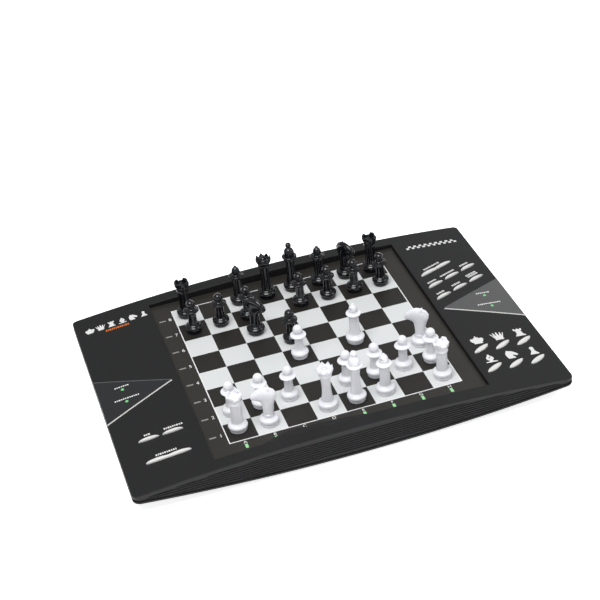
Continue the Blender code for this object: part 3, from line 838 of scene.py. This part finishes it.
def make_battery_bay():
    """The wall behind the cover, and the tray with its springs that shows when the cover is off."""
    width, front = DOOR
    wall_y = HALF_Y - INSET - 0.15
    slot_top = BELLY_Z + SKIN + 2 * GAP

    def wall_height(x, y=0):
        return parting_z(x) - GAP - slot_top

    wall = arched_skin([rectangle(-width - 14, width + 14, wall_y - SKIN, wall_y)],
                       lambda x: parting_z(x) - GAP, 1, lambda loop: [(0, wall_height)], wall_height(0))
    finish_piece("rear_wall", wall, CASING, "console", ())
    x1 = width - 2.4
    y0 = front + 3.4
    y1 = HALF_Y - 9.4
    outer = rectangle(-x1 - 1.2, x1 + 1.2, y0 - 1.2, y1 + 1.2)
    sides = flat_slab([outer, rectangle(-x1, x1, y0, y1)], slot_top + 2.4, BAY_WALL_Z)
    ceiling = flat_slab([outer], BAY_WALL_Z + 0.05, BAY_WALL_Z + 0.9)
    finish_piece("battery_tray", join_shapes([sides, ceiling]), CASING, "console", ())
    contacts = []
    for place in range(CELLS):
        y = y0 + (y1 - y0) * (place + 0.5) / CELLS
        coil = [(0, 0)]
        for turn in range(4):
            coil += [(4.6 - 0.6 * turn, 1.3 * turn + 0.2), (3.9 - 0.6 * turn, 1.3 * turn + 0.9)]
        spring = turned(coil + [(0, 5.4)], 20)
        spring.transform(Matrix.Translation((-x1 + 0.1, y, 11.5)) @ Matrix.Rotation(math.pi / 2, 4, "Y"))
        tab = [(x1 - 0.7, y - 4), (x1 - 0.7, y + 4), (x1 - 0.1, y + 4), (x1 - 0.1, y - 4)]
        contacts += [spring, swept([[(*corner, z) for corner in tab] for z in (7.8, 15.5)])]
    finish_piece("battery_contacts", join_shapes(contacts), STEEL, "console", ())


def make_fixings():
    """Screws in their collars and a blank label under the console."""
    outer, inner, high = COLLAR
    collars = []
    screws = []
    for x, y in SCREWS:
        z = underside_z(x)
        collars.append(arched_skin([ring_points(x, y, outer), ring_points(x, y, inner)],
                                   lambda u: underside_z(u) - high, -1, lambda loop: [(0, high)], high))
        head = turned(drawn([(0, -0.6), (1.2, -0.6), (2.9, -0.1, 0.2), (2.9, 0.3), (0, 0.3)]), 24)
        head.transform(Matrix.Translation((x, y, z)))
        screws.append(head)
        for turn in (45, 135):
            slot = placed(rectangle(-1.5, 1.5, -0.25, 0.25), x, y, turn)
            screws.append(arched_skin([slot], lambda u, z=z: z - 0.66, -1, lambda loop: [(0, 0.1)], 0.1))
    finish_piece("screw_collars", join_shapes(collars), CASING, "console", ())
    finish_piece("screws", join_shapes(screws), STEEL, "console", ())
    label = arched_skin([rounded_box(*LABEL_BOX, 2)], lambda x: underside_z(x) - LABEL_THICK, -1,
                        lambda loop: [(0, LABEL_THICK)], LABEL_THICK)
    finish_piece("rating_label", label, LABEL, "console", ())


def make_door():
    width, front = DOOR
    low = BELLY_Z + GAP
    shapes = [flat_slab([rectangle(-width, width, front, HALF_Y)], low, low + SKIN)]
    shapes += [bar(-12, 12, HALF_Y - 6 - 2.2 * place, low, 0.55, 0.35) for place in range(GRIP_RIDGES)]
    finish_piece("battery_cover", join_shapes(shapes), CASING, "battery_door", ["battery_door"])


# ---- men ----
def turned(points, segments=TURN):
    """A closed solid turned about Z from (radius, height) points, foot to top."""
    shape = bmesh.new()
    rings = []
    for radius, height in points:
        if radius < 1e-6:
            rings.append([shape.verts.new((0, 0, height))])
        else:
            rings.append([shape.verts.new((radius * math.cos(a), radius * math.sin(a), height))
                          for a in (2 * math.pi * k / segments for k in range(segments))])
    for ring, after in zip(rings, rings[1:]):
        for place in range(segments):
            corners = [ring[place - 1 if len(ring) > 1 else 0], ring[place if len(ring) > 1 else 0],
                       after[place if len(after) > 1 else 0], after[place - 1 if len(after) > 1 else 0]]
            distinct = list(dict.fromkeys(corners))
            if len(distinct) > 2:
                shape.faces.new(distinct)
    if len(rings[-1]) > 1:
        shape.faces.new(rings[-1])
    return shape


def base_outline(size, column):
    """The two-step foot that every man stands on, up to its column."""
    return [(0, 0), (6.7 * size, 0), (7.15 * size, 0.45, 0.4), (7.15 * size, 2.2), (6.6 * size, 2.75, -0.3),
            (7.6 * size, 3.15), (8.1 * size, 4.5, 0.25), (7.3 * size, 6.2, 0.3), (6.0 * size, 6.9, 0.2),
            (column + 1.2, 7.3), (column + 0.1, 9.2, -0.35)]


OUTLINES = {
    "pawn": base_outline(0.925, 3.9) + [
        (3.65, 14.0), (3.7, 18.8), (4.6, 19.8, -0.25), (6.5, 21.6), (6.8, 22.1, 0.3), (6.5, 22.7, 0.4),
        (4.2, 23.6), (2.9, 25.0, -0.3), (4.1, 27.9, 0.35), (0, 32.0, 0.41)],
    "rook": base_outline(1.0, 4.9) + [
        (4.6, 14.0), (4.6, 25.4), (5.2, 26.2, -0.3), (5.3, 27.4, 0.3), (5.2, 28.6), (6.2, 31.8, -0.2),
        (6.6, 35.6), (6.3, 36.0, 0.4), (4.9, 36.0), (4.6, 35.7, 0.4), (4.5, 32.9), (0, 32.6)],
    "bishop": base_outline(1.0, 4.6) + [
        (4.3, 14.0), (4.3, 25.2), (4.8, 26.2, -0.25), (6.3, 28.2), (6.5, 28.8, 0.3), (6.2, 29.4, 0.4),
        (4.2, 29.9), (3.2, 30.7, -0.35), (3.75, 33.4, 0.2), (1.5, 37.4, 0.24), (1.1, 37.7), (1.2, 38.4, 0.4),
        (0, 38.8, 0.3)],
    "queen": base_outline(1.02, 4.9) + [
        (3.75, 20.0, -0.05), (4.6, 31.6, -0.05), (5.3, 32.4, 0.2), (5.2, 33.4, 0.4), (4.9, 34.0), (5.3, 35.2),
        (6.8, 37.8, 0.15), (7.0, 38.8), (6.9, 40.2), (6.7, 41.6), (6.3, 41.6), (6.1, 40.2), (5.8, 38.8),
        (3.4, 38.4), (2.2, 40.4, -0.3), (1.3, 41.2), (1.5, 42.4, 0.5), (0, 43.4, 0.4)],
    "king": base_outline(0.99, 4.9) + [
        (3.8, 19.0, -0.05), (4.4, 30.8, -0.05), (4.8, 31.6, -0.2), (6.5, 34.2), (6.7, 34.9, 0.3),
        (6.4, 35.5, 0.4), (4.3, 36.0), (4.75, 38.6, 0.2), (2.2, 43.6, 0.28), (1.5, 44.4, -0.3),
        (2.65, 46.5, 0.35), (0, 49.0, 0.42)],
    "knight": base_outline(1.0, 4.6) + [(4.2, 10.6), (0, 11.2, 0.2)],
}
KNIGHT_TURNS = {"white_knight_b": 165, "white_knight_g": 150, "black_knight_b": -55, "black_knight_g": -60}
# A knight from the side, nose towards +X: back and front points of each station and its half thickness.
HORSE = (
    ((-4.6, 8.6), (4.6, 8.6), 4.0), ((-4.3, 13.0), (4.2, 13.0), 3.6), ((-4.4, 18.0), (4.4, 17.0), 3.3),
    ((-5.6, 22.5), (4.8, 19.6), 3.1), ((-7.2, 26.5), (5.2, 21.2), 3.0), ((-7.4, 30.0), (5.6, 22.0), 3.0),
    ((-5.4, 33.2), (6.2, 22.6), 3.0), ((-2.0, 35.2), (7.0, 23.2), 3.0), ((2.0, 35.8), (8.0, 23.8), 2.9),
    ((5.6, 35.0), (9.2, 24.2), 2.7), ((8.8, 33.4), (10.4, 24.4), 2.5), ((11.4, 31.4), (11.8, 24.8), 2.2),
    ((12.9, 29.4), (12.9, 26.2), 1.5),
)


def horse():
    """Neck, head, crest and ears of a knight."""
    sections = []
    for (bx, bz), (fx, fz), half in HORSE:
        middle = Vector(((bx + fx) / 2, 0, (bz + fz) / 2))
        reach = Vector(((fx - bx) / 2, 0, (fz - bz) / 2))
        ring = []
        for k in range(20):
            a = 2 * math.pi * k / 20
            c = math.copysign(abs(math.cos(a)) ** 0.85, math.cos(a))
            s = math.copysign(abs(math.sin(a)) ** 0.85, math.sin(a))
            ring.append(middle + reach * c + Vector((0, half * s, 0)))
        sections.append(ring)
    head = swept(sections)
    crest = []
    for place in range(1, 10):
        (bx, bz), (fx, fz), half = HORSE[place]
        back = Vector((bx, 0, bz))
        inward = (Vector((fx, 0, fz)) - back).normalized()
        size = 1.5 * (1.15 - 0.05 * abs(place - 5))
        crest.append([back + inward * (0.9 - size * math.cos(a)) + Vector((0, size * math.sin(a), 0))
                      for a in (2 * math.pi * k / 12 for k in range(12))])
    ears = []
    for sy in (-1, 1):
        root = Vector((-1.2, 1.5 * sy, 33.4))
        tip = Vector((-2.2, 1.9 * sy, 35.6))
        sections = []
        for t, size in ((0, 1), (0.4, 0.95), (0.75, 0.6), (1, 0.15)):
            middle = root.lerp(tip, t)
            sections.append([middle + Vector((1.3 * size * math.cos(a), 0.8 * size * math.sin(a), 0))
                             for a in (2 * math.pi * k / 10 for k in range(10))])
        ears.append(swept(sections))
    return [head, swept(crest)] + ears


def shape_crown(shape, low, high, inner, count, depth, square):
    """Lower the rim between the teeth of a crown."""
    for vert in shape.verts:
        radius = vert.co.xy.length
        if vert.co.z > low and radius > inner:
            angle = math.atan2(vert.co.y, vert.co.x)
            wave = 0.5 - 0.5 * math.cos(count * angle)
            if square:
                cut = min(max((0.62 - wave) * 4, 0), 1)
            else:
                cut = 1 - abs((count * angle / (2 * math.pi)) % 1 - 0.5) * 2
            vert.co.z -= depth * cut * min((vert.co.z - low) / (high - low), 1)


def cut_slit(shape, width, depth_angle, centre, size):
    """Saw a slanting slit into a bishop's head."""
    mesh = bpy.data.meshes.new("head")
    shape.to_mesh(mesh)
    shape.free()
    body = bpy.data.objects.new("head", mesh)
    saw_shape = bmesh.new()
    bmesh.ops.create_cube(saw_shape, size=1.0)
    saw_shape.transform(Matrix.Translation(centre) @ Matrix.Rotation(math.radians(depth_angle), 4, "Y")
                        @ Matrix.Diagonal((size, size, width, 1)))
    saw_mesh = bpy.data.meshes.new("saw")
    saw_shape.to_mesh(saw_mesh)
    saw_shape.free()
    saw = bpy.data.objects.new("saw", saw_mesh)
    for obj in (body, saw):
        bpy.context.scene.collection.objects.link(obj)
    cut = body.modifiers.new("slit", "BOOLEAN")
    cut.operation = "DIFFERENCE"
    cut.solver = "EXACT"
    cut.object = saw
    bpy.context.view_layer.update()
    done = bpy.data.meshes.new_from_object(body.evaluated_get(bpy.context.evaluated_depsgraph_get()))
    for obj in (body, saw):
        bpy.data.objects.remove(obj, do_unlink=True)
    result = bmesh.new()
    result.from_mesh(done)
    bpy.data.meshes.remove(done)
    return result


def man_mesh(kind, colour):
    shape = turned(drawn(OUTLINES[kind]))
    if kind == "rook":
        shape_crown(shape, 32.9, 36.0, 4.3, 4, 2.4, True)
    if kind == "queen":
        shape_crown(shape, 37.8, 41.6, 5.5, 8, 3.3, False)
    if kind == "bishop":
        shape = cut_slit(shape, 1.0, 40, Vector((-3.2, 0, 34.9)), 5.6)
    if kind == "knight":
        shape = join_shapes([shape] + horse())
    shape.transform(Matrix.Scale(MM, 4))
    bmesh.ops.recalc_face_normals(shape, faces=shape.faces)
    mesh = bpy.data.meshes.new(f"{colour}_{kind}")
    shape.to_mesh(mesh)
    shape.free()
    mesh.materials.append({"white": MAN_WHITE, "black": MAN_BLACK}[colour])
    mesh.shade_smooth()
    mesh.set_sharp_from_angle(angle=math.radians(38))
    return mesh


def make_men():
    meshes = {}
    for node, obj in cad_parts.items():
        colour, _, rest = node.partition("_")
        if colour not in ("white", "black"):
            continue
        kind = rest.split("_")[0]
        if (colour, kind) not in meshes:
            meshes[colour, kind] = man_mesh(kind, colour)
        low = min(vert.co.z for vert in obj.data.vertices)
        foot = [vert.co for vert in obj.data.vertices if vert.co.z < low + 0.2 * MM]
        middle = [(max(co[i] for co in foot) + min(co[i] for co in foot)) / 2 for i in range(2)]
        turn = math.radians(KNIGHT_TURNS.get(node, 0))
        matrix = Matrix.Translation((*middle, low)) @ Matrix.Rotation(turn, 4, "Z")
        place_piece(node + "_man", meshes[colour, kind], node, [node], matrix)


# ---- inner pieces keep their CAD shapes ----
def dress_inner_pieces():
    looks = {"main_circuit_board": CIRCUIT, "left_circuit_board": CIRCUIT, "light_board": CIRCUIT,
             "speaker": STEEL, "left_key_mat": KEY_MAT, "right_key_mat": KEY_MAT}
    for node, mat in looks.items():
        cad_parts[node].data.materials.clear()
        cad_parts[node].data.materials.append(mat)


# ---- floor, light and camera ----
# name, place in metres, size in metres, power in watts
LIGHTS = (
    ("key_light", (-0.35, -0.45, 1.7), 1.1, 25),
    ("side_light", (1.3, -0.5, 1.0), 0.7, 3),
    ("lens_light", (1.14, 1.66, 1.12), 0.72, 1.5),
)
CAMERA_PLACE = (-0.26526, -1.04422, 0.81510)
CAMERA_TURNS = ((-13.992, "Z"), (55.367, "X"), (-6.237, "Z"))
CAMERA_LENS = 93.29


def make_stage():
    bpy.ops.mesh.primitive_plane_add(size=12, location=(0, 0, -0.0002))
    floor = bpy.context.object
    floor.name = "floor"
    floor.data.materials.append(glow("floor", (0.93, 0.93, 0.93), 0.85))
    bpy.context.scene.view_settings.view_transform = "Standard"
    world = bpy.data.worlds.new("studio")
    bpy.context.scene.world = world
    world.use_nodes = True
    world.node_tree.nodes["Background"].inputs["Color"].default_value = (0.96, 0.98, 1, 1)
    world.node_tree.nodes["Background"].inputs["Strength"].default_value = 0.38
    for name, place, size, power in LIGHTS:
        light = bpy.data.lights.new(name, "AREA")
        light.shape = "SQUARE"
        light.size = size
        light.energy = power
        obj = bpy.data.objects.new(name, light)
        obj.location = place
        obj.rotation_euler = (-Vector(place)).to_track_quat("-Z", "Y").to_euler()
        bpy.context.scene.collection.objects.link(obj)


def make_camera():
    data = bpy.data.cameras.new("camera")
    data.lens = CAMERA_LENS
    data.sensor_width = 36
    obj = bpy.data.objects.new("camera", data)
    matrix = Matrix.Translation(CAMERA_PLACE)
    for angle, axis in CAMERA_TURNS:
        matrix @= Matrix.Rotation(math.radians(angle), 4, axis)
    obj.matrix_world = matrix
    bpy.context.scene.collection.objects.link(obj)
    bpy.context.scene.camera = obj


make_camera()
make_stage()
make_top()
make_lenses()
make_sheet()
make_bottom()
make_door()
make_keys()
make_prints()
make_men()
dress_inner_pieces()

bpy.context.view_layer.update()
